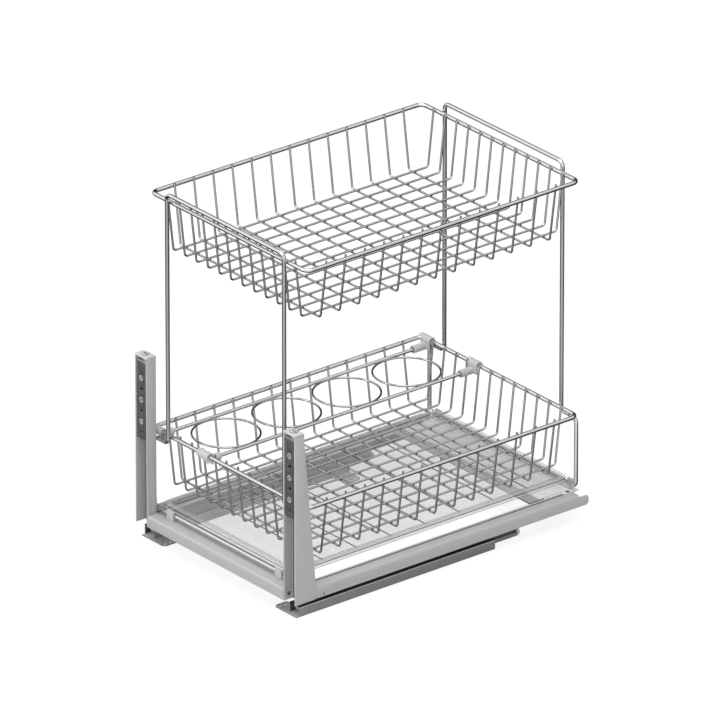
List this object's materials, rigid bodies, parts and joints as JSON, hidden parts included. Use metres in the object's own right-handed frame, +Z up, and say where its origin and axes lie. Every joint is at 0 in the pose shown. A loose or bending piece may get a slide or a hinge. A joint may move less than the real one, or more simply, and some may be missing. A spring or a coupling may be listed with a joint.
{
  "type": "pull-out pantry unit",
  "caption": "Pull-out pantry frame on full-extension floor slides with upper and lower wire baskets, drip tray, bottle rack and height-adjustable door brackets.",
  "frame": {"origin": "on the cabinet floor, midway between the sides and between the front and rear ends of the base frame", "axes": "+Y into the cabinet, +Z up, +X to the right for someone facing the cabinet"},
  "size_m": [0.342, 0.508, 0.516],
  "materials": {
    "chromed_wire": "bright chrome plating",
    "grey_plastic": "satin moulded",
    "cap_plastic": "satin moulded",
    "clear_tray": "frosted, see-through",
    "ball_steel": "polished",
    "cage_steel": "rolled strip",
    "white_nylon": "moulded",
    "zinc_steel": "zinc plated, dull",
    "bright_steel": "zinc plated, bright",
    "dark_plate": "dark passivated zinc",
    "frame_paint": "satin powder coat"
  },
  "bodies": {
    "cabinet_rails": {"cabinet_rail_left": "zinc_steel", "cabinet_rail_right": "zinc_steel"},
    "middle_rail_left": {"middle_rail_left": "zinc_steel", "middle_rail_buffer_left": "white_nylon"},
    "lower_cage_left": {"lower_ball_cage_left": "cage_steel", "lower_balls_left": "ball_steel"},
    "upper_cage_left": {"upper_ball_cage_left": "cage_steel", "upper_balls_left": "ball_steel"},
    "door_plate_left": {"door_plate_left": "dark_plate", "door_plate_nuts_left": "bright_steel"},
    "adjuster_left": {"adjuster_screw_left": "bright_steel"},
    "middle_rail_right": {"middle_rail_right": "zinc_steel", "middle_rail_buffer_right": "white_nylon"},
    "lower_cage_right": {"lower_ball_cage_right": "cage_steel", "lower_balls_right": "ball_steel"},
    "upper_cage_right": {"upper_ball_cage_right": "cage_steel", "upper_balls_right": "ball_steel"},
    "door_plate_right": {"door_plate_right": "dark_plate", "door_plate_nuts_right": "bright_steel"},
    "adjuster_right": {"adjuster_screw_right": "bright_steel"},
    "bottle_rack": {"bottle_fitting_front_inner": "grey_plastic", "bottle_fitting_front_outer": "grey_plastic", "bottle_fitting_rear_inner": "grey_plastic", "bottle_fitting_rear_outer": "grey_plastic", "bottle_rail_inner": "chromed_wire", "bottle_rail_outer": "chromed_wire", "bottle_rings": "chromed_wire"},
    "drip_tray": {"drip_tray": "clear_tray"},
    "carriage": {"door_upright_left": "frame_paint", "door_upright_right": "frame_paint", "drawer_rail_left": "zinc_steel", "drawer_rail_right": "zinc_steel", "frame_rivets": "frame_paint", "front_crossbar": "frame_paint", "lower_basket_cross_wires": "chromed_wire", "lower_basket_long_wires": "chromed_wire", "lower_basket_rim": "chromed_wire", "rear_cross_plate": "frame_paint", "rear_stiffener": "zinc_steel", "side_rail_left": "frame_paint", "side_rail_right": "frame_paint", "support_wire_front": "chromed_wire", "support_wire_rear": "chromed_wire", "upper_basket_cross_wires": "chromed_wire", "upper_basket_long_wires": "chromed_wire", "upper_basket_rim": "chromed_wire", "upright_cap_left": "cap_plastic", "upright_cap_right": "cap_plastic", "wire_clip_bases": "grey_plastic", "wire_clip_caps": "grey_plastic"}
  },
  "joints": [
    {"name": "pull_out", "type": "slide", "parent": "cabinet_rails", "child": "carriage", "axis": [0, -1, 0], "range_m": [0, 0.44]},
    {"name": "middle_slide_left", "type": "slide", "parent": "cabinet_rails", "child": "middle_rail_left", "axis": [0, -1, 0], "range_m": [0, 0.22]},
    {"name": "lower_cage_slide_left", "type": "slide", "parent": "cabinet_rails", "child": "lower_cage_left", "axis": [0, -1, 0], "range_m": [0, 0.11]},
    {"name": "upper_cage_slide_left", "type": "slide", "parent": "cabinet_rails", "child": "upper_cage_left", "axis": [0, -1, 0], "range_m": [0, 0.33]},
    {"name": "door_height_left", "type": "slide", "parent": "carriage", "child": "door_plate_left", "axis": [0, 0, 1], "range_m": [-0.003, 0.003]},
    {"name": "adjuster_turn_left", "type": "hinge", "parent": "carriage", "child": "adjuster_left", "pos_m": [-0.1585, -0.246, 0.2705], "axis": [0, 0, 1], "range_deg": [-1350, 1350]},
    {"name": "middle_slide_right", "type": "slide", "parent": "cabinet_rails", "child": "middle_rail_right", "axis": [0, -1, 0], "range_m": [0, 0.22]},
    {"name": "lower_cage_slide_right", "type": "slide", "parent": "cabinet_rails", "child": "lower_cage_right", "axis": [0, -1, 0], "range_m": [0, 0.11]},
    {"name": "upper_cage_slide_right", "type": "slide", "parent": "cabinet_rails", "child": "upper_cage_right", "axis": [0, -1, 0], "range_m": [0, 0.33]},
    {"name": "door_height_right", "type": "slide", "parent": "carriage", "child": "door_plate_right", "axis": [0, 0, 1], "range_m": [-0.003, 0.003]},
    {"name": "adjuster_turn_right", "type": "hinge", "parent": "carriage", "child": "adjuster_right", "pos_m": [0.1585, -0.246, 0.2705], "axis": [0, 0, 1], "range_deg": [-1350, 1350]},
    {"name": "rack_lift", "type": "slide", "parent": "carriage", "child": "bottle_rack", "axis": [0, 0, 1], "range_m": [0, 0.2]},
    {"name": "tray_lift", "type": "slide", "parent": "carriage", "child": "drip_tray", "axis": [0, 0, 1], "range_m": [0, 0.015]}
  ],
  "couplings": [
    {"joint": "middle_slide_left", "follows": "pull_out", "ratio": 0.5},
    {"joint": "lower_cage_slide_left", "follows": "pull_out", "ratio": 0.25},
    {"joint": "upper_cage_slide_left", "follows": "pull_out", "ratio": 0.75},
    {"joint": "adjuster_turn_left", "follows": "door_height_left", "rad_per_m": 7854},
    {"joint": "middle_slide_right", "follows": "pull_out", "ratio": 0.5},
    {"joint": "lower_cage_slide_right", "follows": "pull_out", "ratio": 0.25},
    {"joint": "upper_cage_slide_right", "follows": "pull_out", "ratio": 0.75},
    {"joint": "adjuster_turn_right", "follows": "door_height_right", "rad_per_m": 7854}
  ]
}
